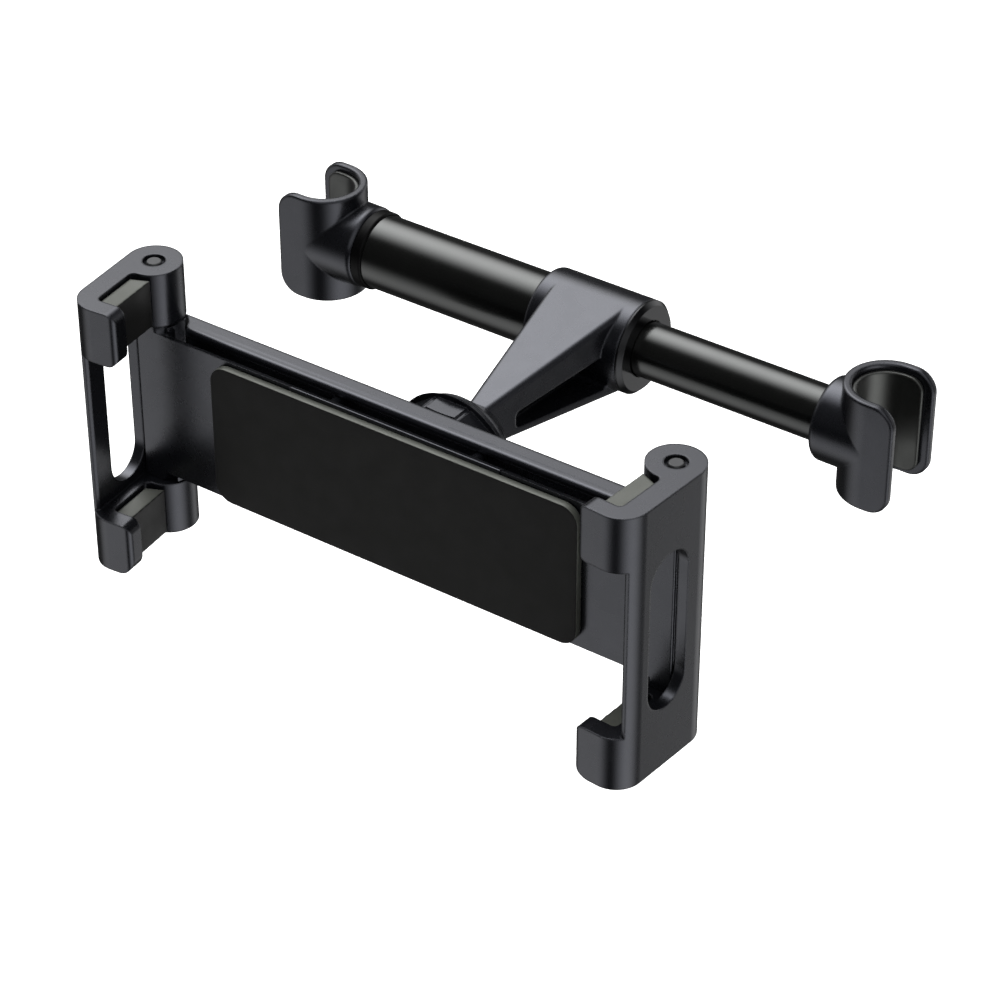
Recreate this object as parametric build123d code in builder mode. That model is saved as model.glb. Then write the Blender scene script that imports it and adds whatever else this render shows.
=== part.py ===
from build123d import *
from math import acos, atan2, cos, hypot, pi, radians, sin, sqrt, tan
import os

# Headrest tablet mount. Millimetres, +Z up, the tablet faces -Y.
# The origin lies on the rod's axis, midway between the two headrest posts.

# Rod and its tubes
POST_X = 82.55
OUTER_TUBE_R = 9.67
INNER_TUBE_R = 7.04
TUBE_WALL = 1.2
SOCKET_DEPTH = 6.0
BUSH_LENGTH = 12.0
PISTON_LENGTH = 6.0
PISTON_FLANGE = 1.0
PISTON_CHAMFER = 0.3
ROD_SPRING_R = 7.0
ROD_SPRING_WIRE_R = 0.55
ROD_SPRING_TURNS = 9

# Post clamps
CLAMP_R = 10.8
CLAMP_WALL = 2.2
CLAMP_HEIGHT = 29.6
FLANK_REACH = 7.35
FLANK_CORNER_R = 5.5
CLAMP_EDGE_R = 0.6
SOCKET_R = 10.7
SOCKET_EDGE_R = 1.6
LEFT_SOCKET_X = 67.3
RIGHT_SOCKET_X = 67.3
LINER_WALL = 1.2
LINER_INSET = 1.6
LINER_END_INSET = 2.3
LINER_CORNER_R = 3.6
COLLAR_R = 10.3
COLLAR_LENGTH = 2.8
COLLAR_CHAMFER = 0.4

# Hub and arm
HUB_R = 12.1
HUB_LEFT_X = 13.4
HUB_RIGHT_X = 14.2
HUB_EDGE_R = 1.2
END_RING_LENGTH = 1.5
END_RING_CHAMFER = 1.1
HUB_SEAM_R = 0.4
ARM_BASE_RIGHT = 12.6
ARM_BASE_LEFT = 10.6
ARM_TIP_RIGHT = 2.1
ARM_TIP_LEFT = 3.2
ARM_TIP_Y = -48.6
ARM_TIP_TOP = 3.4
ARM_TIP_BOTTOM = -7.8
ARM_EDGE_R = 1.5
ARM_WEB = 2.4
POCKET_CORNERS = [(-39.6, -6.2), (-39.6, -1.7), (-10.2, 1.7), (-9.4, -8.4)]
POCKET_CORNER_R = 1.5

# Ball joint
HOLDER_Y = -78.0
HOLDER_Z = -4.1
BALL_REACH = 17.5
BALL_R = 7.5
SEAT_GAP = 0.25
SEAT_WALL = 0.8
NECK_R = 4.0
SHANK_R = 3.0
STUD_FLANGE_R = 7.0
STUD_FLANGE = 0.8
CUP_FLANGE_R = 14.8
CUP_FLANGE = 1.3
CUP_FLANGE_CHAMFER = 0.5
CUP_OVERLAP = 0.4
CUP_NECK_R = 7.6
CUP_BACK = 12.2
THREAD_R = 12.2
CUP_FRONT = 3.4

# Lock nut
NUT_FLATS = 10
NUT_APOTHEM = 14.5
NUT_RIM_R = 16.1
NUT_RIM = 1.8
NUT_RIM_BACK_R = 15.0
NUT_BACK = 3.0
NUT_CONE_START = 3.2
NUT_FRONT = 6.3
NUT_FRONT_R = 9.6
NUT_MOUTH_R = 8.3
NUT_MOUTH_FLARE = 0.6
NUT_GROOVE_R = 0.7
NUT_GROOVE_OUT = 0.15
AXLE_DEPTH = 8.0
AXLE_END_GAP = 1.0

# Holder: housing, slides and pinion
CLOSED_WIDTH = 160.0
BARREL_R = 6.93
HOLDER_HALF = 20.0
PLATE_FRONT = -4.4
PLATE_THICK = 2.5
CARRIER_HALF = 29.6
CARRIER_PROUD = 0.2
CARRIER_EDGE_R = 0.4
WALL_FRONT = 2.2
HOUSING_BACK = 7.2
HOUSING_INSET = 1.0
BARREL_GAP = 0.4
PLATE_CORNER_R = 0.4
FOLD_GAP = 0.5
HOUSING_EDGE_R = 1.0
RIB_INNER = 12.4
RIB_WALL = 1.6
ARM_BACK = 1.9
RACK_TOP = 12.0
SLIDE_GAP = 0.3
POST_AT_X = 20.0
POST_AT_Z = 16.2
CARRIER_POST_R = 1.7
SCREW_R = 0.9
SCREW_HEAD_R = 1.9
SCREW_HEAD = 1.3
SCREW_HEAD_GAP = 0.1
SCREW_CROSS = (2.2, 0.5)
SCREW_CROSS_DEPTH = 0.6
PANEL_SIZE = (34.0, 27.0)
PANEL_AT_X = 44.0
PANEL_DEPTH = 0.8
PANEL_CORNER_R = 3.0

# Rack and pinion
MODULE = 1.0
PINION_TEETH = 10
PRESSURE_ANGLE = 20.0
PINION_ADDENDUM = 0.8
RACK_ADDENDUM = 0.55
ROOT_GAP = 0.2
BACKLASH = 0.12
PINION_FRONT = -0.9
PINION_THICK = 2.4
AXLE_R = 1.5
AXLE_HEAD_R = 2.6
AXLE_HEAD = 0.7
PINION_BOSS_R = 2.5
TOOTH_SINK = 0.3
SPRING_POCKET_R = 9.0
SPRING_POCKET = 2.5
SPRING_TURNS = 3.5
SPRING_STRIP = 0.35
SPRING_INNER_R = 3.1
SPRING_SIDE_GAP = 0.15

# Front pad
PAD_WIDTH = 104.3
PAD_HALF_HEIGHT = 18.85
PAD_THICK = 1.7
PAD_CORNER_R = 5.0
PAD_EDGE_R = 0.5

# Jaws
JAW_LEAN = 4.69
JAW_HALF = 37.05
HOOK_INNER = 22.7
JAW_REACH = 25.85
JAW_CORNER_R = 6.8
BLOCK_WALL_U = 1.4
SIDE_WALL_U = 4.1
WINDOW_FRONT_V = -23.2
LIP_TIP_U = -6.6
LIP_THICK = 4.65
LIP_EDGE_R = 1.4
LIP_CORNER_R = 2.8
LOW_CORNER_R = 4.2
LIP_TOP_CORNER_R = 2.4
JAW_PAD_U = -3.65
JAW_PAD_INSET = 0.9
JAW_PAD_EDGE_R = 0.5
JAW_PAD_CHAMFER = 0.6
JAW_PAD_END_V = (-8.7, -6.9)
POCKET_R = 1.4
WALL_CHAMFER = 0.6
SLOT_WIDTH = 13.5
SLOT_HEIGHT = 42.1
SLOT_BACK_V = -3.5
SLOT_RISE = 0.55
KNUCKLE_R = 4.9
SHELL_INNER_R = 5.2
KNUCKLE_INSET = 1.2
SHELL_END_U = 0.4
PIN_R = 1.9
PIN_RING_R = 2.75
PIN_RING_DEPTH = 1.2
PIN_INSET = 0.1
PIN_CHAMFER = 0.3
FIT_GAP = 0.05
END_GAP = 0.3

# Worked-out places
BALL_Y = HOLDER_Y + BALL_REACH
JAW_X = CLOSED_WIDTH / 2 - BARREL_R
HOUSING_HALF_X = JAW_X - HOUSING_INSET
PITCH_R = MODULE * PINION_TEETH / 2
RACK_PITCH = pi * MODULE
RACK_ROOT = PITCH_R + PINION_ADDENDUM + ROOT_GAP
WEB_X = JAW_X - KNUCKLE_R
RACK_END = WEB_X - BARREL_GAP
LEAN = radians(JAW_LEAN)
PLATE_END = JAW_X + (SIDE_WALL_U + PLATE_FRONT * sin(LEAN)) / cos(LEAN) - FOLD_GAP
PLATE_BACK = PLATE_FRONT + PLATE_THICK
CARRIER_FRONT = PLATE_FRONT - CARRIER_PROUD
SEAT_IN_R = BALL_R + SEAT_GAP
SEAT_MID_R = SEAT_IN_R + SEAT_WALL
SEAT_OUT_R = SEAT_MID_R + SEAT_GAP
CUP_R = SEAT_OUT_R + SEAT_WALL + SEAT_GAP
TUBE_BORE_R = OUTER_TUBE_R - TUBE_WALL
OUTER_TUBE_END_X = HUB_RIGHT_X - FIT_GAP
INNER_END_X = OUTER_TUBE_END_X - BUSH_LENGTH - END_GAP - PISTON_LENGTH

os.makedirs("parts", exist_ok=True)


def keep(piece, name):
    """Labels a finished piece and writes it to its file."""
    piece.label = name
    export_step(piece, f"parts/{name}.step")


# Post clamps with their sockets and rubber liners

def u_channel(side, outer_r, inner_r, reach, height, corner_r):
    """An upright U about a post, open outward, its free corners round in side view."""
    near_x = POST_X - outer_r - 1
    far_x = POST_X + reach
    with BuildPart() as body:
        with BuildSketch(Plane.XY.offset(-height / 2)):
            with Locations((side * POST_X, 0)):
                Circle(outer_r)
            with Locations((side * (POST_X + reach / 2), 0)):
                Rectangle(reach, 2 * outer_r)
            with Locations((side * POST_X, 0)):
                Circle(inner_r, mode=Mode.SUBTRACT)
            with Locations((side * (POST_X + reach), 0)):
                Rectangle(2 * reach, 2 * inner_r, mode=Mode.SUBTRACT)
        extrude(amount=height)
        with BuildSketch(Plane.XZ) as side_view:
            with Locations((side * (near_x + far_x) / 2, 0)):
                Rectangle(far_x - near_x, height)
            fillet(side_view.vertices().group_by(Axis.X)[-1 if side > 0 else 0], corner_r)
        extrude(amount=outer_r + 1, both=True, mode=Mode.INTERSECT)
    return body.part


def clamp(side, socket_x, tube_r):
    """A post clamp: the U with a round socket for the tube."""
    with BuildPart() as body:
        add(u_channel(side, CLAMP_R, CLAMP_R - CLAMP_WALL, FLANK_REACH, CLAMP_HEIGHT, FLANK_CORNER_R))
        fillet(body.edges(), CLAMP_EDGE_R)
        with BuildSketch(Plane.YZ.offset(side * socket_x)):
            Circle(SOCKET_R)
        with BuildSketch(Plane.YZ.offset(side * POST_X)):
            Circle(CLAMP_R)
        loft()
        rim = body.edges().filter_by(GeomType.CIRCLE).sort_by(Axis.X)[0 if side > 0 else -1]
        fillet(rim, SOCKET_EDGE_R)
        with BuildSketch(Plane.XY.offset(-SOCKET_R - 1)):
            with Locations((side * POST_X, 0)):
                Circle(CLAMP_R - CLAMP_WALL)
        extrude(amount=2 * (SOCKET_R + 1), mode=Mode.SUBTRACT)
        with BuildSketch(Plane.YZ.offset(side * socket_x)):
            Circle(tube_r + FIT_GAP)
        extrude(amount=side * SOCKET_DEPTH, mode=Mode.SUBTRACT)
    return body.part


def clamp_liner(side):
    """The rubber strip that lines the U, inset from its edges."""
    inner_r = CLAMP_R - CLAMP_WALL
    height = CLAMP_HEIGHT - 2 * LINER_INSET
    reach = FLANK_REACH - LINER_END_INSET
    return u_channel(side, inner_r - FIT_GAP, inner_r - LINER_WALL, reach, height, LINER_CORNER_R)


keep(clamp(-1, LEFT_SOCKET_X, OUTER_TUBE_R), "left_clamp")
keep(clamp(1, RIGHT_SOCKET_X, INNER_TUBE_R), "right_clamp")
keep(clamp_liner(-1), "left_clamp_liner")
keep(clamp_liner(1), "right_clamp_liner")

with BuildPart() as left_tube_collar:
    with BuildSketch(Plane.YZ.offset(-LEFT_SOCKET_X)):
        Circle(COLLAR_R)
        Circle(OUTER_TUBE_R + FIT_GAP, mode=Mode.SUBTRACT)
    extrude(amount=COLLAR_LENGTH)
    inner_rims = left_tube_collar.edges().filter_by(GeomType.CIRCLE).group_by(Axis.X)[-1]
    chamfer(inner_rims.sort_by(SortBy.RADIUS)[-1], COLLAR_CHAMFER)
keep(left_tube_collar.part, "left_tube_collar")


# Telescopic rod

with BuildPart() as outer_tube:
    with BuildSketch(Plane.YZ.offset(-LEFT_SOCKET_X - SOCKET_DEPTH + END_GAP)):
        Circle(OUTER_TUBE_R)
        Circle(OUTER_TUBE_R - TUBE_WALL, mode=Mode.SUBTRACT)
    extrude(amount=LEFT_SOCKET_X + SOCKET_DEPTH - END_GAP + OUTER_TUBE_END_X)
keep(outer_tube.part, "outer_tube")

with BuildPart() as inner_tube:
    with BuildSketch(Plane.YZ.offset(INNER_END_X)):
        Circle(INNER_TUBE_R)
        Circle(INNER_TUBE_R - TUBE_WALL, mode=Mode.SUBTRACT)
    extrude(amount=RIGHT_SOCKET_X + SOCKET_DEPTH - END_GAP - INNER_END_X)
keep(inner_tube.part, "inner_tube")

with BuildPart() as outer_tube_bush:
    with BuildSketch(Plane.YZ.offset(OUTER_TUBE_END_X - BUSH_LENGTH)):
        Circle(TUBE_BORE_R - FIT_GAP)
        Circle(INNER_TUBE_R + FIT_GAP, mode=Mode.SUBTRACT)
    extrude(amount=BUSH_LENGTH)
keep(outer_tube_bush.part, "outer_tube_bush")

with BuildPart() as inner_tube_bush:
    with BuildSketch(Plane.YZ.offset(INNER_END_X)):
        Circle(TUBE_BORE_R - FIT_GAP)
        Circle(INNER_TUBE_R + FIT_GAP / 2, mode=Mode.SUBTRACT)
    extrude(amount=PISTON_LENGTH)
    with BuildSketch(Plane.YZ.offset(INNER_END_X)):
        Circle(TUBE_BORE_R - FIT_GAP)
    extrude(amount=-PISTON_FLANGE)
    chamfer(inner_tube_bush.edges().filter_by(GeomType.CIRCLE).group_by(Axis.X)[0], PISTON_CHAMFER)
keep(inner_tube_bush.part, "inner_tube_bush")

spring_left_x = -LEFT_SOCKET_X - SOCKET_DEPTH + FIT_GAP
spring_right_x = INNER_END_X - PISTON_FLANGE - FIT_GAP
spring_run = spring_right_x - spring_left_x - 2 * ROD_SPRING_WIRE_R

with BuildPart() as rod_spring:
    with BuildLine() as coil:
        Helix(
            pitch=spring_run / ROD_SPRING_TURNS,
            height=spring_run,
            radius=ROD_SPRING_R,
            center=(spring_left_x + ROD_SPRING_WIRE_R, 0, 0),
            direction=(1, 0, 0),
        )
    with BuildSketch(Plane(origin=coil.line @ 0, z_dir=coil.line % 0)):
        Circle(ROD_SPRING_WIRE_R)
    sweep()
keep(rod_spring.part, "rod_spring")


# Arm: hub on the rod, tapered arm and ball cup in one moulding

def tangent_on_hub(tip_y, tip_z, turn):
    """The point where a line from the arm's tip touches the hub's circle."""
    angle = atan2(tip_z, tip_y) + turn * acos(HUB_R / hypot(tip_y, tip_z))
    return (HUB_R * cos(angle), HUB_R * sin(angle))


ARM_END_Y = BALL_Y + CUP_R + CUP_OVERLAP
top_touch = tangent_on_hub(ARM_TIP_Y, ARM_TIP_TOP, -1)
bottom_touch = tangent_on_hub(ARM_TIP_Y, ARM_TIP_BOTTOM, 1)


def along(start, end, y):
    """The height at y of the line through two points of the side view."""
    return start[1] + (end[1] - start[1]) * (y - start[0]) / (end[0] - start[0])


arm_top = [(ARM_TIP_Y, ARM_TIP_TOP), top_touch]
arm_bottom = [(ARM_TIP_Y, ARM_TIP_BOTTOM), bottom_touch]

with BuildPart() as arm:
    with BuildSketch(Plane.XY.offset(-HUB_R - 2)):
        with BuildLine():
            Polyline(
                (ARM_BASE_RIGHT, 0),
                (ARM_TIP_RIGHT, ARM_END_Y),
                (-ARM_TIP_LEFT, ARM_END_Y),
                (-ARM_BASE_LEFT, 0),
                close=True,
            )
        make_face()
    extrude(amount=2 * (HUB_R + 2))
    with BuildSketch(Plane.YZ):
        with BuildLine():
            Polyline(
                (0, 0),
                top_touch,
                (ARM_END_Y, along(*arm_top, ARM_END_Y)),
                (ARM_END_Y, along(*arm_bottom, ARM_END_Y)),
                bottom_touch,
                close=True,
            )
        make_face()
    extrude(amount=ARM_BASE_RIGHT + 1, both=True, mode=Mode.INTERSECT)
    long_edges = arm.edges().filter_by(lambda e: e.length > -ARM_END_Y / 2)
    fillet(long_edges, ARM_EDGE_R)
    for side in (1, -1):
        with BuildSketch(Plane.YZ.offset(side * ARM_WEB / 2)) as pocket:
            with BuildLine():
                Polyline(*POCKET_CORNERS, close=True)
            make_face()
            fillet(pocket.vertices(), POCKET_CORNER_R)
        extrude(amount=side * ARM_BASE_RIGHT, mode=Mode.SUBTRACT)
    with BuildSketch(Plane.YZ.offset(-HUB_LEFT_X)):
        Circle(HUB_R)
    extrude(amount=HUB_LEFT_X + HUB_RIGHT_X)
    hub_rims = arm.edges().filter_by(GeomType.CIRCLE).filter_by(lambda e: abs(e.radius - HUB_R) < 0.01)
    fillet(hub_rims.sort_by(Axis.X)[0], HUB_EDGE_R)
    hub_rims = arm.edges().filter_by(GeomType.CIRCLE).filter_by(lambda e: abs(e.radius - HUB_R) < 0.01)
    fillet(hub_rims.sort_by(Axis.X)[-1], HUB_SEAM_R)
    with BuildSketch(Plane.YZ):
        with BuildLine():
            Polyline(
                (BALL_Y - CUP_FRONT, HOLDER_Z),
                (BALL_Y - CUP_FRONT, HOLDER_Z + THREAD_R),
                (BALL_Y + NUT_BACK + END_GAP, HOLDER_Z + THREAD_R),
                (BALL_Y + NUT_BACK + END_GAP, HOLDER_Z + CUP_FLANGE_R),
                (BALL_Y + NUT_BACK + END_GAP + CUP_FLANGE, HOLDER_Z + CUP_FLANGE_R - CUP_FLANGE_CHAMFER),
                (BALL_Y + CUP_BACK, HOLDER_Z + CUP_NECK_R),
                (BALL_Y + CUP_BACK, HOLDER_Z),
                close=True,
            )
        make_face()
    revolve(axis=Axis((0, BALL_Y, HOLDER_Z), (0, 1, 0)))
    with Locations((0, BALL_Y, HOLDER_Z)):
        Sphere(CUP_R, mode=Mode.SUBTRACT)
    with BuildSketch(Plane.YZ.offset(-HUB_LEFT_X - 1)):
        Circle(OUTER_TUBE_R + FIT_GAP)
    extrude(amount=HUB_LEFT_X + HUB_RIGHT_X + 2, mode=Mode.SUBTRACT)
keep(arm.part, "arm")

with BuildPart() as hub_end_ring:
    with BuildSketch(Plane.YZ.offset(HUB_RIGHT_X)):
        Circle(HUB_R)
        Circle(INNER_TUBE_R + END_GAP, mode=Mode.SUBTRACT)
    extrude(amount=END_RING_LENGTH)
    outer_rims = hub_end_ring.edges().filter_by(GeomType.CIRCLE).sort_by(SortBy.RADIUS)[-2:]
    chamfer(outer_rims.sort_by(Axis.X)[-1], END_RING_CHAMFER)
keep(hub_end_ring.part, "hub_end_ring")


# Ball joint: seat rings, ball stud and lock nut, turned about the ball's Y axis

def ball_axis():
    """The stud's axis, through the ball's centre."""
    return Axis((0, BALL_Y, HOLDER_Z), (0, 1, 0))


def polar(r, degrees):
    """A point of the side view at a radius from the ball and an angle from its front."""
    return (BALL_Y - r * cos(radians(degrees)), HOLDER_Z + r * sin(radians(degrees)))


def seat_ring(inner_r, front_deg, back_deg):
    """A spherical ring round the ball, open at the front and the back."""
    outer_r = inner_r + SEAT_WALL
    middle = (front_deg + back_deg) / 2
    with BuildPart() as body:
        with BuildSketch(Plane.YZ):
            with BuildLine():
                ThreePointArc(polar(inner_r, front_deg), polar(inner_r, middle), polar(inner_r, back_deg))
                Line(polar(inner_r, back_deg), polar(outer_r, back_deg))
                ThreePointArc(polar(outer_r, back_deg), polar(outer_r, middle), polar(outer_r, front_deg))
                Line(polar(outer_r, front_deg), polar(inner_r, front_deg))
            make_face()
        revolve(axis=ball_axis())
    return body.part


keep(seat_ring(SEAT_IN_R, 36, 125), "ball_seat_inner")
keep(seat_ring(SEAT_OUT_R, 50, 125), "ball_seat_outer")

STUD_SEAT_Y = HOLDER_Y + HOUSING_BACK
STUD_END_Y = HOLDER_Y + WALL_FRONT + SPRING_POCKET
neck_start = sqrt(BALL_R ** 2 - NECK_R ** 2)

with BuildPart() as ball_stud:
    with BuildSketch(Plane.YZ):
        with BuildLine():
            ThreePointArc(
                (BALL_Y - neck_start, HOLDER_Z + NECK_R),
                (BALL_Y, HOLDER_Z + BALL_R),
                (BALL_Y + BALL_R, HOLDER_Z),
            )
            Polyline(
                (BALL_Y + BALL_R, HOLDER_Z),
                (STUD_END_Y, HOLDER_Z),
                (STUD_END_Y, HOLDER_Z + SHANK_R),
                (STUD_SEAT_Y, HOLDER_Z + SHANK_R),
                (STUD_SEAT_Y, HOLDER_Z + STUD_FLANGE_R),
                (STUD_SEAT_Y + STUD_FLANGE, HOLDER_Z + STUD_FLANGE_R),
                (STUD_SEAT_Y + STUD_FLANGE, HOLDER_Z + NECK_R),
                (BALL_Y - neck_start, HOLDER_Z + NECK_R),
            )
        make_face()
    revolve(axis=ball_axis())
    with BuildSketch(Plane.XZ.offset(-STUD_END_Y)):
        with Locations((0, HOLDER_Z)):
            Circle(AXLE_R)
    extrude(amount=-AXLE_DEPTH, mode=Mode.SUBTRACT)
keep(ball_stud.part, "ball_stud")

NUT_SPHERE_R = SEAT_OUT_R + SEAT_WALL + SEAT_GAP
mouth_depth = sqrt(NUT_SPHERE_R ** 2 - NUT_MOUTH_R ** 2)
shoulder = CUP_FRONT + END_GAP
shoulder_r = sqrt(NUT_SPHERE_R ** 2 - shoulder ** 2)
NUT_BORE_R = THREAD_R + FIT_GAP
mean_depth = (mouth_depth + shoulder) / 2

with BuildPart() as lock_nut:
    with BuildSketch(Plane.XZ.offset(-BALL_Y + NUT_FRONT)):
        with Locations((0, HOLDER_Z)):
            RegularPolygon(NUT_APOTHEM, NUT_FLATS, major_radius=False, rotation=0)
            with PolarLocations(NUT_APOTHEM / cos(pi / NUT_FLATS) + NUT_GROOVE_OUT, NUT_FLATS):
                Circle(NUT_GROOVE_R, mode=Mode.SUBTRACT)
    extrude(amount=-(NUT_FRONT + NUT_BACK - NUT_RIM))
    with BuildSketch(Plane.XZ.offset(-BALL_Y - NUT_BACK + NUT_RIM)):
        with Locations((0, HOLDER_Z)):
            Circle(NUT_RIM_R)
    extrude(amount=-NUT_RIM)
    with BuildSketch(Plane.YZ):
        with BuildLine():
            Polyline(
                (BALL_Y + NUT_BACK, HOLDER_Z + NUT_RIM_BACK_R),
                (BALL_Y + NUT_BACK, HOLDER_Z + NUT_BORE_R),
                (BALL_Y - shoulder, HOLDER_Z + NUT_BORE_R),
                (BALL_Y - shoulder, HOLDER_Z + shoulder_r),
            )
            ThreePointArc(
                (BALL_Y - shoulder, HOLDER_Z + shoulder_r),
                (BALL_Y - mean_depth, HOLDER_Z + sqrt(NUT_SPHERE_R ** 2 - mean_depth ** 2)),
                (BALL_Y - mouth_depth, HOLDER_Z + NUT_MOUTH_R),
            )
            Polyline(
                (BALL_Y - mouth_depth, HOLDER_Z + NUT_MOUTH_R),
                (BALL_Y - NUT_FRONT, HOLDER_Z + NUT_MOUTH_R + NUT_MOUTH_FLARE),
                (BALL_Y - NUT_FRONT, HOLDER_Z + NUT_FRONT_R),
                (BALL_Y - NUT_CONE_START, HOLDER_Z + NUT_RIM_R),
                (BALL_Y + NUT_BACK - NUT_RIM, HOLDER_Z + NUT_RIM_R),
                (BALL_Y + NUT_BACK, HOLDER_Z + NUT_RIM_BACK_R),
            )
        make_face()
    revolve(axis=ball_axis(), mode=Mode.INTERSECT)
keep(lock_nut.part, "lock_nut")


# Holder housing, front carrier and front pad

with BuildPart() as back_housing:
    with BuildSketch(Plane.YZ.offset(-HOUSING_HALF_X)):
        with Locations((HOLDER_Y + (WALL_FRONT + HOUSING_BACK) / 2, HOLDER_Z)):
            Rectangle(HOUSING_BACK - WALL_FRONT, 2 * HOLDER_HALF)
    extrude(amount=2 * HOUSING_HALF_X)
    back_edges = back_housing.faces().sort_by(Axis.Y)[-1].edges()
    fillet(back_edges, HOUSING_EDGE_R)
    with BuildSketch(Plane.YZ.offset(-WEB_X + SLIDE_GAP)):
        rib_depth = WALL_FRONT - PLATE_BACK - SLIDE_GAP
        rib_y = HOLDER_Y + WALL_FRONT - rib_depth / 2
        rib_z = RIB_INNER + RIB_WALL / 2
        with Locations((rib_y, HOLDER_Z + rib_z), (rib_y, HOLDER_Z - rib_z)):
            Rectangle(rib_depth, RIB_WALL)
    extrude(amount=2 * (WEB_X - SLIDE_GAP))
    with Locations((JAW_X, HOLDER_Y, HOLDER_Z), (-JAW_X, HOLDER_Y, HOLDER_Z)):
        Cylinder(BARREL_R + BARREL_GAP, 2 * HOLDER_HALF + 1, mode=Mode.SUBTRACT)
    with BuildSketch(Plane.XZ.offset(-HOLDER_Y - WALL_FRONT)):
        with Locations((0, HOLDER_Z)):
            Circle(SPRING_POCKET_R)
    extrude(amount=-SPRING_POCKET, mode=Mode.SUBTRACT)
    with BuildSketch(Plane.XZ.offset(-HOLDER_Y)):
        with Locations((0, HOLDER_Z)):
            Circle(SHANK_R + FIT_GAP)
    extrude(amount=-HOUSING_BACK - 1, mode=Mode.SUBTRACT)
    with BuildSketch(Plane.XZ.offset(-HOLDER_Y - HOUSING_BACK)):
        with Locations((PANEL_AT_X, HOLDER_Z), (-PANEL_AT_X, HOLDER_Z)):
            RectangleRounded(PANEL_SIZE[0], PANEL_SIZE[1], PANEL_CORNER_R)
    extrude(amount=PANEL_DEPTH, mode=Mode.SUBTRACT)
    with Locations(Plane.XZ.offset(-HOLDER_Y - HOUSING_BACK)):
        with Locations((0, HOLDER_Z)):
            with GridLocations(2 * POST_AT_X, 2 * POST_AT_Z, 2, 2):
                Cylinder(SCREW_R + FIT_GAP, 2 * HOUSING_BACK, mode=Mode.SUBTRACT)
                Cylinder(SCREW_HEAD_R + SCREW_HEAD_GAP, 2 * (SCREW_HEAD + SCREW_HEAD_GAP), mode=Mode.SUBTRACT)
keep(back_housing.part, "back_housing")

with BuildPart() as front_carrier:
    with BuildSketch(Plane.XZ.offset(-HOLDER_Y - PLATE_BACK)):
        with Locations((0, HOLDER_Z)):
            Rectangle(2 * CARRIER_HALF, 2 * HOLDER_HALF)
    extrude(amount=PLATE_BACK - CARRIER_FRONT)
    fillet(front_carrier.faces().sort_by(Axis.Y)[0].edges().filter_by(Axis.X), CARRIER_EDGE_R)
    with BuildSketch(Plane.XZ.offset(-HOLDER_Y - PLATE_BACK)):
        with Locations((0, HOLDER_Z)):
            with GridLocations(2 * POST_AT_X, 2 * POST_AT_Z, 2, 2):
                Circle(CARRIER_POST_R)
    extrude(amount=-(WALL_FRONT - PLATE_BACK))
    with BuildSketch(Plane.XZ.offset(-HOLDER_Y - WALL_FRONT)):
        with Locations((0, HOLDER_Z)):
            with GridLocations(2 * POST_AT_X, 2 * POST_AT_Z, 2, 2):
                Circle(SCREW_R)
    extrude(amount=WALL_FRONT - PLATE_BACK, mode=Mode.SUBTRACT)
keep(front_carrier.part, "front_carrier")

with BuildPart() as carrier_screws:
    with BuildSketch(Plane.XZ.offset(-HOLDER_Y - HOUSING_BACK)):
        with Locations((0, HOLDER_Z)):
            with GridLocations(2 * POST_AT_X, 2 * POST_AT_Z, 2, 2):
                Circle(SCREW_HEAD_R)
    extrude(amount=SCREW_HEAD)
    with BuildSketch(Plane.XZ.offset(-HOLDER_Y - HOUSING_BACK + SCREW_HEAD)):
        with Locations((0, HOLDER_Z)):
            with GridLocations(2 * POST_AT_X, 2 * POST_AT_Z, 2, 2):
                Circle(SCREW_R)
    extrude(amount=HOUSING_BACK - SCREW_HEAD - PLATE_BACK - END_GAP)
    with BuildSketch(Plane.XZ.offset(-HOLDER_Y - HOUSING_BACK)):
        with Locations((0, HOLDER_Z)):
            with GridLocations(2 * POST_AT_X, 2 * POST_AT_Z, 2, 2):
                Rectangle(SCREW_CROSS[0], SCREW_CROSS[1])
                Rectangle(SCREW_CROSS[1], SCREW_CROSS[0])
    extrude(amount=SCREW_CROSS_DEPTH, mode=Mode.SUBTRACT)
keep(carrier_screws.part, "carrier_screws")

with BuildPart() as front_pad:
    with BuildSketch(Plane.XZ.offset(-HOLDER_Y - CARRIER_FRONT)):
        with Locations((0, HOLDER_Z)):
            RectangleRounded(PAD_WIDTH, 2 * PAD_HALF_HEIGHT, PAD_CORNER_R)
    extrude(amount=PAD_THICK)
    fillet(front_pad.faces().sort_by(Axis.Y)[0].edges(), PAD_EDGE_R)
keep(front_pad.part, "front_pad")


# Slides: front plate, rack arm and hinge knuckle in one moulding

def rack_tooth_points():
    """One rack tooth about its middle, from the pitch line."""
    slope = tan(radians(PRESSURE_ANGLE))
    half = RACK_PITCH / 4 - BACKLASH / 2
    tip = half - RACK_ADDENDUM * slope
    root = half + (RACK_ROOT - PITCH_R) * slope
    top = PITCH_R - RACK_ADDENDUM
    return [(-root, RACK_ROOT), (-tip, top), (tip, top), (root, RACK_ROOT)]


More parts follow.
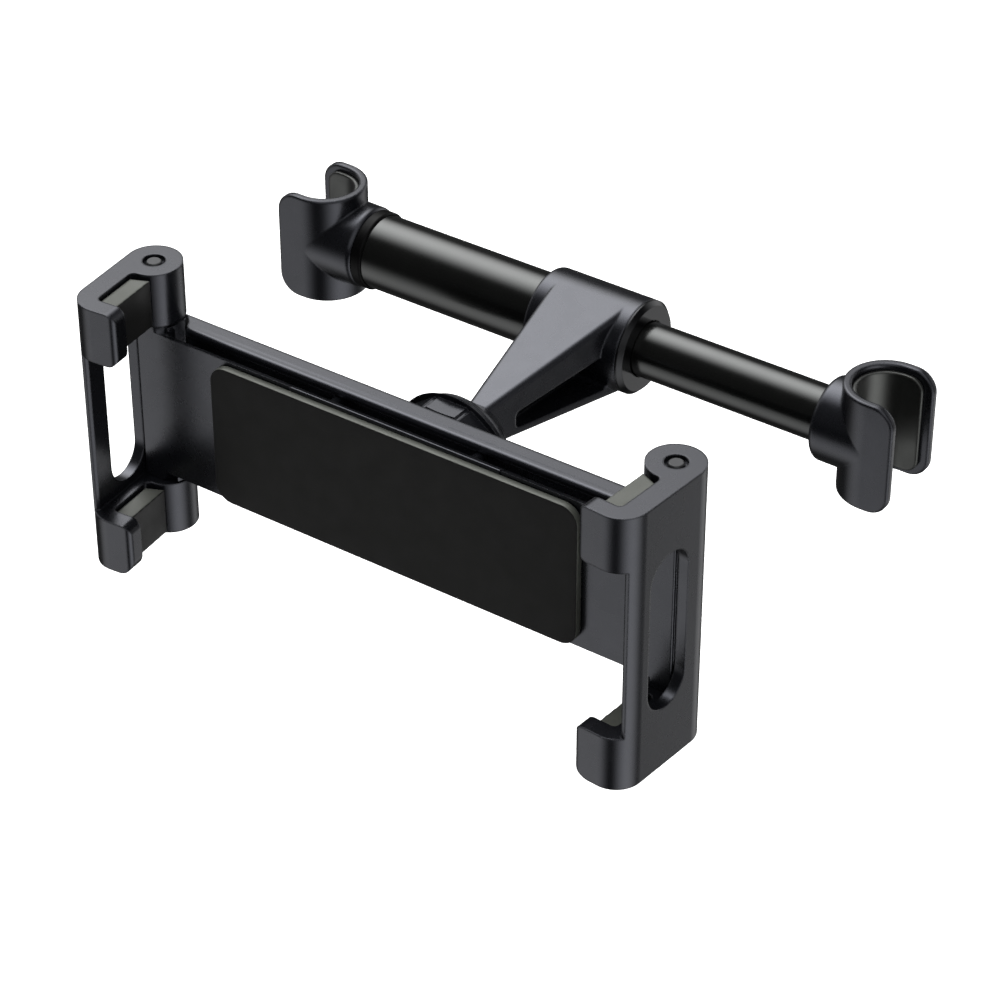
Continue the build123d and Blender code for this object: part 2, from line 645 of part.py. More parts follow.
def slide(side):
    """One slide: side -1 is the left one, whose rack runs above the pinion."""
    up = -side
    inner_x = CARRIER_HALF + SLIDE_GAP
    knuckle_half = HOOK_INNER - END_GAP
    first = -2
    last = int(RACK_END / RACK_PITCH)
    with BuildPart() as body:
        with BuildSketch(Plane.XZ.offset(-HOLDER_Y - PLATE_BACK)):
            with Locations((side * (inner_x + PLATE_END) / 2, HOLDER_Z)):
                Rectangle(PLATE_END - inner_x, 2 * HOLDER_HALF)
        extrude(amount=PLATE_THICK)
        with BuildSketch(Plane.XY.offset(HOLDER_Z - HOLDER_HALF)):
            with Locations((side * (WEB_X + JAW_X) / 2, HOLDER_Y + (PLATE_FRONT + ARM_BACK) / 2)):
                Rectangle(JAW_X - WEB_X, ARM_BACK - PLATE_FRONT)
        extrude(amount=2 * HOLDER_HALF)
        with BuildSketch(Plane.XY.offset(HOLDER_Z - knuckle_half)):
            with Locations((side * (JAW_X + PLATE_END) / 2, HOLDER_Y + PLATE_FRONT + KNUCKLE_INSET / 2)):
                Rectangle(PLATE_END - JAW_X, KNUCKLE_INSET)
            with Locations((side * JAW_X, HOLDER_Y)):
                Circle(KNUCKLE_R)
        extrude(amount=2 * knuckle_half)
        with BuildSketch(Plane.XY.offset(HOLDER_Z - knuckle_half - 1)):
            with Locations((side * (PLATE_END + BARREL_R), HOLDER_Y)):
                Rectangle(2 * BARREL_R, 4 * BARREL_R)
            back_y = HOLDER_Y + PLATE_FRONT + KNUCKLE_INSET
            with Locations((side * (JAW_X + PLATE_END) / 2, back_y + BARREL_R)):
                Rectangle(PLATE_END - JAW_X, 2 * BARREL_R)
            with Locations((side * JAW_X, HOLDER_Y)):
                Circle(KNUCKLE_R, mode=Mode.SUBTRACT)
        extrude(amount=2 * knuckle_half + 2, mode=Mode.SUBTRACT)
        with BuildSketch(Plane.XY.offset(HOLDER_Z - knuckle_half - 1)):
            with Locations((side * (JAW_X - KNUCKLE_R / 2), HOLDER_Y + PLATE_FRONT - BARREL_R)):
                Rectangle(4 * BARREL_R, 2 * BARREL_R)
        extrude(amount=2 * knuckle_half + 2, mode=Mode.SUBTRACT)
        corner_edges = body.edges().filter_by(Axis.Z)
        corner = (side * PLATE_END, HOLDER_Y + PLATE_FRONT, HOLDER_Z)
        fillet(corner_edges.sort_by_distance(corner)[0], PLATE_CORNER_R)
        with BuildSketch(Plane.XY.offset(HOLDER_Z - knuckle_half)):
            with Locations((side * JAW_X, HOLDER_Y)):
                Circle(PIN_R + FIT_GAP / 2)
        extrude(amount=2 * knuckle_half, mode=Mode.SUBTRACT)
        with BuildSketch(Plane.XZ.offset(-HOLDER_Y - ARM_BACK)):
            low = min(side * WEB_X, -side * RACK_END)
            with Locations((low + (WEB_X + RACK_END) / 2, HOLDER_Z + up * (RACK_ROOT + RACK_TOP) / 2)):
                Rectangle(WEB_X + RACK_END, RACK_TOP - RACK_ROOT)
            for n in range(first, last + 1):
                with Locations((-side * n * RACK_PITCH, HOLDER_Z)):
                    Polygon(*[(x, up * z) for x, z in rack_tooth_points()], align=None)
        extrude(amount=ARM_BACK - PLATE_BACK - SLIDE_GAP)
        with BuildSketch(Plane.XZ.offset(-HOLDER_Y - PLATE_BACK - SLIDE_GAP)):
            with Locations((side * (inner_x + WEB_X) / 2, HOLDER_Z + up * (RACK_ROOT + RACK_TOP) / 2)):
                Rectangle(WEB_X - inner_x, RACK_TOP - RACK_ROOT)
        extrude(amount=SLIDE_GAP)
    return body.part


keep(slide(-1), "left_slide")
keep(slide(1), "right_slide")


# Pinion, its shoulder screw and its return spring

def involute_angle(alpha):
    """The involute function."""
    return tan(alpha) - alpha


def pinion_tooth_points():
    """One pinion tooth's outline about the +X direction."""
    base_r = PITCH_R * cos(radians(PRESSURE_ANGLE))
    tip_r = PITCH_R + PINION_ADDENDUM
    root_r = PITCH_R - RACK_ADDENDUM - ROOT_GAP
    at_pitch = pi / (2 * PINION_TEETH) - BACKLASH / 2 / PITCH_R + involute_angle(radians(PRESSURE_ANGLE))
    radii = [base_r + (tip_r - base_r) * k / 4 for k in range(5)]
    flank = [(root_r - TOOTH_SINK, at_pitch)]
    flank += [(r, at_pitch - involute_angle(acos(base_r / r))) for r in radii]
    upper = [(r * cos(a), r * sin(a)) for r, a in flank]
    return upper + [(x, -y) for x, y in reversed(upper)]


with BuildPart() as pinion:
    with BuildSketch(Plane.XZ.offset(-HOLDER_Y - PINION_FRONT - PINION_THICK)):
        with Locations((0, HOLDER_Z)):
            Circle(PITCH_R - RACK_ADDENDUM - ROOT_GAP)
            with PolarLocations(0, PINION_TEETH):
                Polygon(*pinion_tooth_points(), align=None)
            Circle(AXLE_R + FIT_GAP, mode=Mode.SUBTRACT)
    extrude(amount=PINION_THICK)
    with BuildSketch(Plane.XZ.offset(-HOLDER_Y - WALL_FRONT - SPRING_POCKET + END_GAP)):
        with Locations((0, HOLDER_Z)):
            Circle(PINION_BOSS_R)
            Circle(AXLE_R + FIT_GAP, mode=Mode.SUBTRACT)
    extrude(amount=WALL_FRONT + SPRING_POCKET - END_GAP - PINION_FRONT - PINION_THICK)
keep(pinion.part, "pinion")

with BuildPart() as pinion_screw:
    with BuildSketch(Plane.XZ.offset(-HOLDER_Y - PINION_FRONT + FIT_GAP)):
        with Locations((0, HOLDER_Z)):
            Circle(AXLE_HEAD_R)
    extrude(amount=AXLE_HEAD)
    with BuildSketch(Plane.XZ.offset(-HOLDER_Y - PINION_FRONT + FIT_GAP)):
        with Locations((0, HOLDER_Z)):
            Circle(AXLE_R)
    extrude(amount=-(WALL_FRONT + SPRING_POCKET - PINION_FRONT + AXLE_DEPTH - AXLE_END_GAP))
keep(pinion_screw.part, "pinion_screw")

SPRING_OUTER_R = SPRING_POCKET_R - SPRING_STRIP - SPRING_SIDE_GAP


def spiral_points(offset):
    """Points along one face of the wound strip."""
    steps = int(SPRING_TURNS * 12)
    rise = SPRING_OUTER_R - SPRING_INNER_R
    shares = [k / steps for k in range(steps + 1)]
    rows = [(SPRING_INNER_R + offset + rise * k, 2 * pi * SPRING_TURNS * k) for k in shares]
    return [(r * cos(a), r * sin(a)) for r, a in rows]


with BuildPart() as pinion_spring:
    with BuildSketch(Plane.XZ.offset(-HOLDER_Y - WALL_FRONT - SPRING_POCKET + END_GAP)):
        with Locations((0, HOLDER_Z)):
            Polygon(*(spiral_points(0) + spiral_points(SPRING_STRIP)[::-1]), align=None)
    extrude(amount=SPRING_POCKET - 2 * END_GAP)
keep(pinion_spring.part, "pinion_spring")


# Jaws: the right one is built in its own leaning frame, u outward and v to the back

JAW_AXIS = (JAW_X, HOLDER_Y, HOLDER_Z)
JAW_U = (cos(LEAN), -sin(LEAN), 0)
JAW_V = (sin(LEAN), cos(LEAN), 0)
JAW_PLAN = Plane(origin=JAW_AXIS, x_dir=JAW_U, z_dir=(0, 0, 1))
JAW_FRONT = Plane(origin=JAW_AXIS, x_dir=JAW_U, z_dir=(-JAW_V[0], -JAW_V[1], 0))
JAW_SIDE = Plane(origin=JAW_AXIS, x_dir=JAW_V, z_dir=JAW_U)
LIP_BACK_V = LIP_THICK - JAW_REACH
FAR = 2 * BARREL_R
PIN_HALF = JAW_HALF - PIN_INSET


def near(shapes, u, v):
    """The vertex nearest to a point of the sketch's plane."""
    return shapes.sort_by_distance((u, v, 0))[0]


with BuildPart() as right_jaw:
    with BuildSketch(JAW_PLAN.offset(-JAW_HALF)) as plan:
        with BuildLine():
            Polyline(
                (BARREL_R, 0),
                (BARREL_R, -JAW_REACH),
                (LIP_TIP_U, -JAW_REACH),
                (LIP_TIP_U, 0),
                close=True,
            )
        make_face()
        fillet(near(plan.vertices(), BARREL_R, -JAW_REACH), JAW_CORNER_R)
        fillet(near(plan.vertices(), LIP_TIP_U, -JAW_REACH), LIP_EDGE_R)
    extrude(amount=2 * JAW_HALF)
    with BuildSketch(JAW_FRONT) as front:
        for low in (-JAW_HALF, HOOK_INNER):
            with Locations(((LIP_TIP_U + FAR) / 2, low + (JAW_HALF - HOOK_INNER) / 2)):
                Rectangle(FAR - LIP_TIP_U, JAW_HALF - HOOK_INNER)
        with Locations(((SIDE_WALL_U + FAR) / 2, 0)):
            Rectangle(FAR - SIDE_WALL_U, 2 * HOOK_INNER)
        fillet(near(front.vertices(), LIP_TIP_U, JAW_HALF), LIP_TOP_CORNER_R)
        fillet(near(front.vertices(), LIP_TIP_U, HOOK_INNER), LIP_CORNER_R)
        fillet(near(front.vertices(), LIP_TIP_U, -HOOK_INNER), LIP_TOP_CORNER_R)
        fillet(near(front.vertices(), LIP_TIP_U, -JAW_HALF), LOW_CORNER_R)
    extrude(amount=JAW_REACH + 1, mode=Mode.INTERSECT)
    with BuildSketch(JAW_PLAN.offset(-JAW_HALF)):
        Circle(BARREL_R)
    extrude(amount=2 * JAW_HALF)
    with BuildSketch(JAW_PLAN.offset(-HOOK_INNER)):
        Circle(SHELL_INNER_R)
        with Locations((SHELL_END_U - FAR, 0)):
            Rectangle(2 * FAR, 2 * FAR)
        with Locations((SIDE_WALL_U - FAR, -FAR)):
            Rectangle(2 * FAR, 2 * FAR)
        with Locations((0, WINDOW_FRONT_V - FAR)):
            Rectangle(2 * FAR, 2 * FAR)
        with Locations((SIDE_WALL_U, WINDOW_FRONT_V)):
            Polygon((0, 0), (WALL_CHAMFER, 0), (0, WALL_CHAMFER), align=None)
    extrude(amount=2 * HOOK_INNER, mode=Mode.SUBTRACT)
    with BuildSketch(JAW_PLAN.offset(-JAW_HALF)) as pocket:
        with Locations((BLOCK_WALL_U - FAR, LIP_BACK_V / 2)):
            Rectangle(2 * FAR, -LIP_BACK_V)
        Circle(BARREL_R, mode=Mode.SUBTRACT)
        fillet(near(pocket.vertices(), BLOCK_WALL_U, LIP_BACK_V), POCKET_R)
        fillet(near(pocket.vertices(), BLOCK_WALL_U, -BARREL_R), POCKET_R)
    extrude(amount=2 * JAW_HALF, mode=Mode.SUBTRACT)
    with BuildSketch(JAW_SIDE):
        with Locations((SLOT_BACK_V - SLOT_WIDTH / 2, SLOT_RISE)):
            SlotOverall(SLOT_HEIGHT, SLOT_WIDTH, rotation=90)
    extrude(amount=FAR, mode=Mode.SUBTRACT)
    with BuildSketch(JAW_PLAN.offset(-JAW_HALF)):
        Circle(PIN_R + FIT_GAP)
    extrude(amount=2 * JAW_HALF, mode=Mode.SUBTRACT)
    with BuildSketch(JAW_PLAN.offset(JAW_HALF)):
        Circle(PIN_RING_R)
    extrude(amount=-PIN_RING_DEPTH, mode=Mode.SUBTRACT)
    with BuildSketch(JAW_PLAN.offset(-JAW_HALF)):
        Circle(PIN_RING_R)
    extrude(amount=PIN_RING_DEPTH, mode=Mode.SUBTRACT)
keep(right_jaw.part, "right_jaw")

with BuildPart() as left_jaw:
    mirror(right_jaw.part, about=Plane.YZ)
keep(left_jaw.part, "left_jaw")


def jaw_pad(low):
    """The right jaw's rubber pad above the height low, seated in the hook's pocket."""
    with BuildPart() as body:
        with BuildSketch(JAW_PLAN.offset(low)) as outline:
            with BuildLine():
                Polyline(
                    (BLOCK_WALL_U, JAW_PAD_END_V[0]),
                    (BLOCK_WALL_U, LIP_BACK_V),
                    (JAW_PAD_U, LIP_BACK_V),
                    (JAW_PAD_U, JAW_PAD_END_V[1]),
                    close=True,
                )
            make_face()
            chamfer(near(outline.vertices(), BLOCK_WALL_U, LIP_BACK_V), POCKET_R)
            fillet(near(outline.vertices(), JAW_PAD_U, LIP_BACK_V), JAW_PAD_EDGE_R)
        extrude(amount=JAW_HALF - HOOK_INNER - 2 * JAW_PAD_INSET)
        outer_face = body.faces().sort_by(Axis(JAW_AXIS, JAW_U))[-1]
        chamfer(outer_face.edges().filter_by(Axis(JAW_AXIS, JAW_V)), JAW_PAD_CHAMFER)
    return body.part


with BuildPart() as right_upper_pad:
    add(jaw_pad(HOOK_INNER + JAW_PAD_INSET))
keep(right_upper_pad.part, "right_upper_pad")

with BuildPart() as right_lower_pad:
    add(jaw_pad(-JAW_HALF + JAW_PAD_INSET))
keep(right_lower_pad.part, "right_lower_pad")

with BuildPart() as left_upper_pad:
    mirror(right_upper_pad.part, about=Plane.YZ)
keep(left_upper_pad.part, "left_upper_pad")

with BuildPart() as left_lower_pad:
    mirror(right_lower_pad.part, about=Plane.YZ)
keep(left_lower_pad.part, "left_lower_pad")

with BuildPart() as right_hinge_pin:
    with Locations(JAW_AXIS):
        Cylinder(PIN_R, 2 * PIN_HALF)
    chamfer(right_hinge_pin.edges().filter_by(GeomType.CIRCLE), PIN_CHAMFER)
keep(right_hinge_pin.part, "right_hinge_pin")

with BuildPart() as left_hinge_pin:
    mirror(right_hinge_pin.part, about=Plane.YZ)
keep(left_hinge_pin.part, "left_hinge_pin")
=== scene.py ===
"""Looks of a headrest tablet mount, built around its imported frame."""

import logging
import math
from dataclasses import dataclass, field, replace
from enum import Enum

import bmesh
import bpy
from mathutils import Matrix, Vector


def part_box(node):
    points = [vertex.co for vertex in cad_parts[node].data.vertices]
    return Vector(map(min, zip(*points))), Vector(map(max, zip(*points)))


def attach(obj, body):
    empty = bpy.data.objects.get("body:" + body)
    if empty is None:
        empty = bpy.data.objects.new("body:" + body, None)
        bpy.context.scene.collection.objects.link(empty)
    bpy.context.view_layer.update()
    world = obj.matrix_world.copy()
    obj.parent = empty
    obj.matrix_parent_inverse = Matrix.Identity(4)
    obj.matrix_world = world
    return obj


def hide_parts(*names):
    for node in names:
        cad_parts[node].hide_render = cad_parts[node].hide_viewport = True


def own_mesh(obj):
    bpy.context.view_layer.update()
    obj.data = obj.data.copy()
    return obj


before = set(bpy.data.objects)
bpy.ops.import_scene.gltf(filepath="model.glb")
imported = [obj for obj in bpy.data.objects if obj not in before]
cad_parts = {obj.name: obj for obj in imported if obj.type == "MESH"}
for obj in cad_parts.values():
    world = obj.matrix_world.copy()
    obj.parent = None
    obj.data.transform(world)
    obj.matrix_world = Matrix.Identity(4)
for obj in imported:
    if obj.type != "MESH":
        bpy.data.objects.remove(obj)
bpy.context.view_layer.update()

LOG = logging.getLogger("headrest_mount")
MM = 0.001

Point = tuple[float, float, float]
Pair = tuple[float, float]
Colour = tuple[float, float, float]
Tool = tuple[str, bpy.types.Object]

WHITE = (1.0, 1.0, 1.0, 1.0)
QUARTER = math.pi / 2

# How the finishes are put together.
SHEEN_ROUGHNESS = 0.5
PATCH_SIZE = 6.0
BEVEL_SAMPLES = 4
# The cosine between a surface and its rounded edge, at a full edge and at none.
FULL_EDGE = 0.86
NO_EDGE = 0.985

# How the fitted pieces are put together.
SHARP_DEGREES = 28.0
MERGE_DISTANCE = 0.0005
FLAT_FACE_WEIGHT = 100
SMOOTH_FACTOR = 0.5
# The least up or down lean of a pad face that gets the lighter colour, a painted highlight.
PAINTED_HIGHLIGHT_NORMAL = 0.75


# Helpers for node trees


class Tree:
    """A material's node tree with short calls for making and joining nodes."""

    def __init__(self, name: str) -> None:
        """Makes an empty material.

        Args:
            name: The material's name.
        """
        self.material = bpy.data.materials.new(name)
        self.material.use_nodes = True
        self.nodes = self.material.node_tree.nodes
        self.links = self.material.node_tree.links
        self.nodes.clear()

    def node(self, kind: str, **values: object) -> bpy.types.Node:
        """Adds a node.

        Args:
            kind: The node's Blender type.
            values: Properties of the node, or values of its sockets.

        Returns:
            The new node.
        """
        made = self.nodes.new(kind)
        for key, value in values.items():
            socket = key.replace("_", " ")
            if hasattr(made, key):
                setattr(made, key, value)
            else:
                made.inputs[socket].default_value = value
        return made

    def join(self, source: bpy.types.NodeSocket, target: bpy.types.NodeSocket) -> None:
        """Links an output to an input."""
        self.links.new(source, target)

    def ramp(self, factor: bpy.types.NodeSocket, stops: list[Pair]) -> bpy.types.NodeSocket:
        """Maps a value through grey stops.

        Args:
            factor: The value's socket.
            stops: Pairs of place and grey value.

        Returns:
            The mapped value's socket.
        """
        made = self.nodes.new("ShaderNodeValToRGB")
        bar = made.color_ramp.elements
        for index, (place, grey) in enumerate(stops):
            stop = bar[index] if index < len(bar) else bar.new(place)
            stop.position = place
            stop.color = (grey, grey, grey, 1.0)
        self.join(factor, made.inputs["Fac"])
        return made.outputs["Color"]

    def blend(self, factor: bpy.types.NodeSocket, low: Colour, high: Colour) -> bpy.types.NodeSocket:
        """Blends two colours.

        Args:
            factor: The share of the second colour.
            low: The first colour.
            high: The second colour.

        Returns:
            The blended colour's socket.
        """
        made = self.nodes.new("ShaderNodeMix")
        made.data_type = "RGBA"
        made.inputs["A"].default_value = (*low, 1.0)
        made.inputs["B"].default_value = (*high, 1.0)
        self.join(factor, made.inputs["Factor"])
        return made.outputs["Result"]


def noise(
    tree: Tree,
    place: bpy.types.NodeSocket,
    size: float,
    detail: float,
    stretch: Point = (1, 1, 1),
) -> bpy.types.NodeSocket:
    """Adds noise of a real size.

    Args:
        tree: The material's tree.
        place: The socket with the place on the surface.
        size: The size of the noise's grains, in millimetres.
        detail: The noise's detail.
        stretch: The scale along each axis.

    Returns:
        The noise value's socket.
    """
    mapping = tree.node("ShaderNodeMapping")
    mapping.inputs["Scale"].default_value = stretch
    tree.join(place, mapping.inputs["Vector"])
    made = tree.node("ShaderNodeTexNoise", Scale=1.0 / (size * MM), Detail=detail)
    tree.join(mapping.outputs["Vector"], made.inputs["Vector"])
    return made.outputs["Fac"]


# Finishes


@dataclass(frozen=True)
class Finish:
    """A finish with a fine grain, a slow change of shade and worn edges.

    The grain is bump; the shade varies over tens of millimetres; edges are
    a little lighter, where hands rub them.
    """

    name: str
    colour: Colour
    varied: Colour
    worn: Colour
    roughness: float
    roughness_spread: float = 0.06
    metallic: float = 0.0
    coat: float = 0.0
    coat_roughness: float = 0.2
    sheen: float = 0.0
    specular: float = 0.5
    tint: Colour = (1.0, 1.0, 1.0)
    grain: float = 0.35
    grain_depth: float = 0.02
    grain_stretch: Point = (1, 1, 1)
    shade_size: float = 22.0
    edge: float = 0.35
    wear: float = 0.5

    def build(self) -> bpy.types.Material:
        """Makes the material.

        Returns:
            The material with its nodes.
        """
        tree = Tree(self.name)
        shader = tree.node("ShaderNodeBsdfPrincipled")
        shader.inputs["Metallic"].default_value = self.metallic
        shader.inputs["Coat Weight"].default_value = self.coat
        shader.inputs["Coat Roughness"].default_value = self.coat_roughness
        shader.inputs["Sheen Weight"].default_value = self.sheen
        shader.inputs["Sheen Roughness"].default_value = SHEEN_ROUGHNESS
        shader.inputs["Specular IOR Level"].default_value = self.specular
        shader.inputs["Specular Tint"].default_value = (*self.tint, 1.0)
        place = tree.node("ShaderNodeTexCoord").outputs["Object"]
        slow = noise(tree, place, self.shade_size, 2.0)
        fine = noise(tree, place, self.grain, 2.0, self.grain_stretch)
        patch = noise(tree, place, PATCH_SIZE, 4.0)
        rounded = tree.node("ShaderNodeBevel", samples=BEVEL_SAMPLES)
        rounded.inputs["Radius"].default_value = self.edge * MM
        flat = tree.node("ShaderNodeNewGeometry")
        dot = tree.node("ShaderNodeVectorMath", operation="DOT_PRODUCT")
        tree.join(rounded.outputs["Normal"], dot.inputs[0])
        tree.join(flat.outputs["Normal"], dot.inputs[1])
        edge = tree.ramp(dot.outputs["Value"], [(FULL_EDGE, 1.0), (NO_EDGE, 0.0)])
        broken = tree.node("ShaderNodeMath", operation="MULTIPLY")
        tree.join(edge, broken.inputs[0])
        tree.join(tree.ramp(patch, [(0.35, 0.3), (0.65, 1.0)]), broken.inputs[1])
        wear = tree.node("ShaderNodeMath", operation="MULTIPLY")
        tree.join(broken.outputs["Value"], wear.inputs[0])
        wear.inputs[1].default_value = self.wear
        base = tree.blend(tree.ramp(slow, [(0.3, 0.0), (0.7, 1.0)]), self.colour, self.varied)
        worn = tree.node("ShaderNodeMix", data_type="RGBA")
        worn.inputs["B"].default_value = (*self.worn, 1.0)
        tree.join(wear.outputs["Value"], worn.inputs["Factor"])
        tree.join(base, worn.inputs["A"])
        tree.join(worn.outputs["Result"], shader.inputs["Base Color"])
        low = self.roughness - self.roughness_spread
        high = self.roughness + self.roughness_spread
        tree.join(tree.ramp(patch, [(0.3, low), (0.7, high)]), shader.inputs["Roughness"])
        bump = tree.node("ShaderNodeBump", Strength=1.0)
        bump.inputs["Distance"].default_value = self.grain_depth * MM
        tree.join(fine, bump.inputs["Height"])
        tree.join(rounded.outputs["Normal"], bump.inputs["Normal"])
        tree.join(bump.outputs["Normal"], shader.inputs["Normal"])
        out = tree.node("ShaderNodeOutputMaterial")
        tree.join(shader.outputs["BSDF"], out.inputs["Surface"])
        return tree.material


MOULDED = Finish(
    "moulded_shell",
    colour=(0.0040, 0.0043, 0.0055),
    varied=(0.0050, 0.0053, 0.0067),
    worn=(0.016, 0.0165, 0.0185),
    roughness=0.27,
    roughness_spread=0.02,
    specular=0.54,
    tint=(0.86, 0.885, 1.0),
    grain=0.20,
    grain_depth=0.013,
    edge=0.6,
)


class Coat(Enum):
    """The object's finishes."""

    SHELL = MOULDED
    SLIDE_SHELL = replace(MOULDED, name="moulded_slide", edge=0.22)
    CLAMP_SHELL = replace(MOULDED, name="moulded_clamp", edge=0.7)
    ARM_SHELL = replace(MOULDED, name="moulded_arm", edge=0.7)
    NUT_SHELL = replace(MOULDED, name="moulded_nut", edge=0.3)
    GASKET = Finish(
        "matte_black_collar",
        colour=(0.0018, 0.0018, 0.0019),
        varied=(0.0024, 0.0024, 0.0025),
        worn=(0.005, 0.005, 0.005),
        roughness=0.40,
        roughness_spread=0.03,
        specular=0.07,
        grain=0.3,
        grain_depth=0.008,
        edge=0.5,
    )
    RING = Finish(
        "glossy_end_ring",
        colour=(0.0030, 0.0031, 0.0034),
        varied=(0.0038, 0.0039, 0.0042),
        worn=(0.008, 0.008, 0.0085),
        roughness=0.18,
        roughness_spread=0.02,
        specular=0.30,
        tint=(0.93, 0.95, 1.0),
        grain=0.35,
        grain_depth=0.004,
        edge=0.35,
    )
    TUBE = Finish(
        "coated_tube",
        colour=(0.0030, 0.0032, 0.0030),
        varied=(0.0038, 0.0040, 0.0038),
        worn=(0.010, 0.010, 0.010),
        roughness=0.21,
        roughness_spread=0.015,
        specular=0.50,
        tint=(0.97, 1.0, 0.985),
        coat=0.06,
        coat_roughness=0.2,
        grain=0.30,
        grain_depth=0.006,
        edge=0.3,
    )
    RUBBER = Finish(
        "soft_rubber",
        colour=(0.0045, 0.0046, 0.0043),
        varied=(0.0058, 0.0059, 0.0055),
        worn=(0.018, 0.018, 0.017),
        roughness=0.42,
        sheen=0.03,
        specular=0.28,
        grain=0.22,
        grain_depth=0.014,
        edge=0.35,
    )
    LINER = Finish(
        "clamp_liner_rubber",
        colour=(0.0060, 0.0062, 0.0058),
        varied=(0.0078, 0.0080, 0.0075),
        worn=(0.018, 0.0182, 0.0175),
        roughness=0.34,
        sheen=0.02,
        specular=0.62,
        tint=(0.97, 1.0, 0.96),
        grain=0.24,
        grain_depth=0.010,
        edge=0.5,
    )
    # Lighter greenish grey for the pads' ends and rims: a painted highlight, standing in for the
    # light their top strips catch from above.
    PAD_PAINTED_HIGHLIGHT = Finish(
        "pad_painted_highlight",
        colour=(0.058, 0.061, 0.053),
        varied=(0.068, 0.071, 0.062),
        worn=(0.09, 0.094, 0.084),
        roughness=0.44,
        specular=0.45,
        tint=(0.97, 1.0, 0.95),
        grain=0.24,
        grain_depth=0.020,
        edge=0.3,
    )
    FOAM_PAD = Finish(
        "front_pad_skin",
        colour=(0.0072, 0.0072, 0.0068),
        varied=(0.0080, 0.0080, 0.0076),
        worn=(0.016, 0.016, 0.0155),
        roughness=0.60,
        roughness_spread=0.03,
        sheen=0.02,
        specular=0.16,
        grain=0.24,
        grain_depth=0.014,
        shade_size=40.0,
        edge=0.4,
    )
    STEEL = Finish(
        "drawn_steel",
        colour=(0.42, 0.43, 0.44),
        varied=(0.50, 0.51, 0.52),
        worn=(0.6, 0.6, 0.6),
        roughness=0.3,
        metallic=1.0,
        grain=0.3,
        grain_depth=0.004,
        grain_stretch=(1, 0.1, 1),
        edge=0.15,
    )
    BLACK_STEEL = Finish(
        "blackened_steel",
        colour=(0.030, 0.031, 0.033),
        varied=(0.038, 0.039, 0.041),
        worn=(0.09, 0.09, 0.09),
        roughness=0.34,
        metallic=0.5,
        grain=0.3,
        grain_depth=0.006,
        edge=0.25,
    )
    ACETAL = Finish(
        "natural_acetal",
        colour=(0.62, 0.61, 0.56),
        varied=(0.68, 0.67, 0.62),
        worn=(0.74, 0.73, 0.7),
        roughness=0.4,
        grain=0.4,
        grain_depth=0.006,
        edge=0.2,
    )


class Wardrobe:
    """Makes each finish once and hands it out."""

    def __init__(self) -> None:
        """Starts with no material made."""
        self.made: dict[Coat, bpy.types.Material] = {}

    def get(self, coat: Coat) -> bpy.types.Material:
        """Gives a finish's material.

        Args:
            coat: The finish.

        Returns:
            The material, made on first use.
        """
        if coat not in self.made:
            self.made[coat] = coat.value.build()
        return self.made[coat]

    def dress(self, obj: bpy.types.Object, *coats: Coat) -> None:
        """Gives an object its finishes, one for each material index.

        Args:
            obj: The mesh object.
            coats: The finishes, in the order of the mesh's material indices.
        """
        if obj.data.materials:
            obj.data.materials.clear()
        for coat in coats:
            obj.data.materials.append(self.get(coat))


def dress_nodes(wardrobe: Wardrobe, names: tuple[str, ...], coat: Coat) -> None:
    """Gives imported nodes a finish.

    Args:
        wardrobe: The finishes.
        names: The nodes' names.
        coat: The finish.
    """
    for name in names:
        wardrobe.dress(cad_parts[name], coat)
        LOG.info("dressed %s in %s", name, coat.value.name)


# Helpers for meshes


def link_mesh(name: str, bm: bmesh.types.BMesh) -> bpy.types.Object:
    """Turns a bmesh into a shown object with outward faces.

    Args:
        name: The object's name.
        bm: The mesh, which is freed.

    Returns:
        The new object.
    """
    bmesh.ops.recalc_face_normals(bm, faces=bm.faces)
    mesh = bpy.data.meshes.new(name)
    bm.to_mesh(mesh)
    bm.free()
    for face in mesh.polygons:
        face.use_smooth = True
    obj = bpy.data.objects.new(name, mesh)
    bpy.context.scene.collection.objects.link(obj)
    return obj


def baked(obj: bpy.types.Object) -> bpy.types.Mesh:
    """Makes a mesh of an object with its modifiers applied.

    Args:
        obj: The object.

    Returns:
        The new mesh.
    """
    bpy.context.view_layer.update()
    evaluated = obj.evaluated_get(bpy.context.evaluated_depsgraph_get())
    return bpy.data.meshes.new_from_object(evaluated)


def shown(name: str, mesh: bpy.types.Mesh) -> bpy.types.Object:
    """Links a mesh as an object with smooth faces and sharp corners.

    Args:
        name: The object's name.
        mesh: The mesh.

    Returns:
        The new object.
    """
    mesh.name = name
    for face in mesh.polygons:
        face.use_smooth = True
    mesh.set_sharp_from_angle(angle=math.radians(SHARP_DEGREES))
    obj = bpy.data.objects.new(name, mesh)
    bpy.context.scene.collection.objects.link(obj)
    normals = obj.modifiers.new("normals", "WEIGHTED_NORMAL")
    normals.weight = FLAT_FACE_WEIGHT
    normals.keep_sharp = True
    obj.data = baked(obj)
    obj.data.name = name
    obj.modifiers.clear()
    bpy.data.meshes.remove(mesh)
    return obj


def extruded(outline: list[Pair], start: float, end: float, upright: bool) -> bpy.types.Object:
    """Makes a closed form of one section, to join to a piece or cut from it.

    Args:
        outline: The section's corners in order, in millimetres: (x, y) if it
            stands upright and (y, z) if it lies along X.
        start: The form's first end.
        end: The form's other end.
        upright: Whether the form stands upright.

    Returns:
        The form's object.
    """
    bm = bmesh.new()
    ends = []
    for along in (start, end):
        corners = [(a, b, along) if upright else (along, a, b) for a, b in outline]
        ends.append([bm.verts.new([value * MM for value in corner]) for corner in corners])
    count = len(outline)
    for i in range(count):
        j = (i + 1) % count
        bm.faces.new((ends[0][i], ends[0][j], ends[1][j], ends[1][i]))
    bm.faces.new(ends[0])
    bm.faces.new(ends[1])
    return link_mesh("form", bm)


